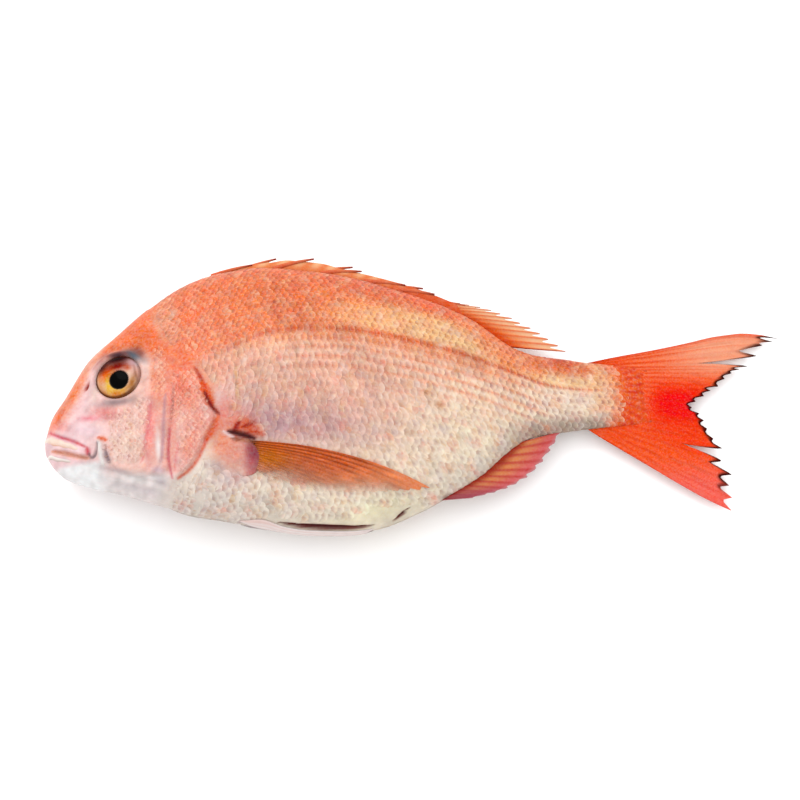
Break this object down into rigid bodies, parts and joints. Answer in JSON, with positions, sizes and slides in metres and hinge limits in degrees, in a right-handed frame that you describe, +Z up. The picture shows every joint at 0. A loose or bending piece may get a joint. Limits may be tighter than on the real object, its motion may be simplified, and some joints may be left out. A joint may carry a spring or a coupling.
{
  "type": "whole raw fish",
  "caption": "Whole raw red sea bream lying on its side, gutted, with scaled flanks, folded fins, a forked ragged tail and round eyes.",
  "frame": {"origin": "on the table, under the middle of the whole fish's box", "axes": "+X from the snout to the tail, +Y towards the back, +Z up, out of the left flank"},
  "size_m": [0.3038, 0.1216, 0.0406],
  "materials": {
    "skin": "wet, scaled, coral pink",
    "eye": "wet and clear over a golden iris"
  },
  "bodies": {
    "root": {"fish": "skin", "eye_left": "eye", "eye_right": "eye"}
  },
  "joints": []
}
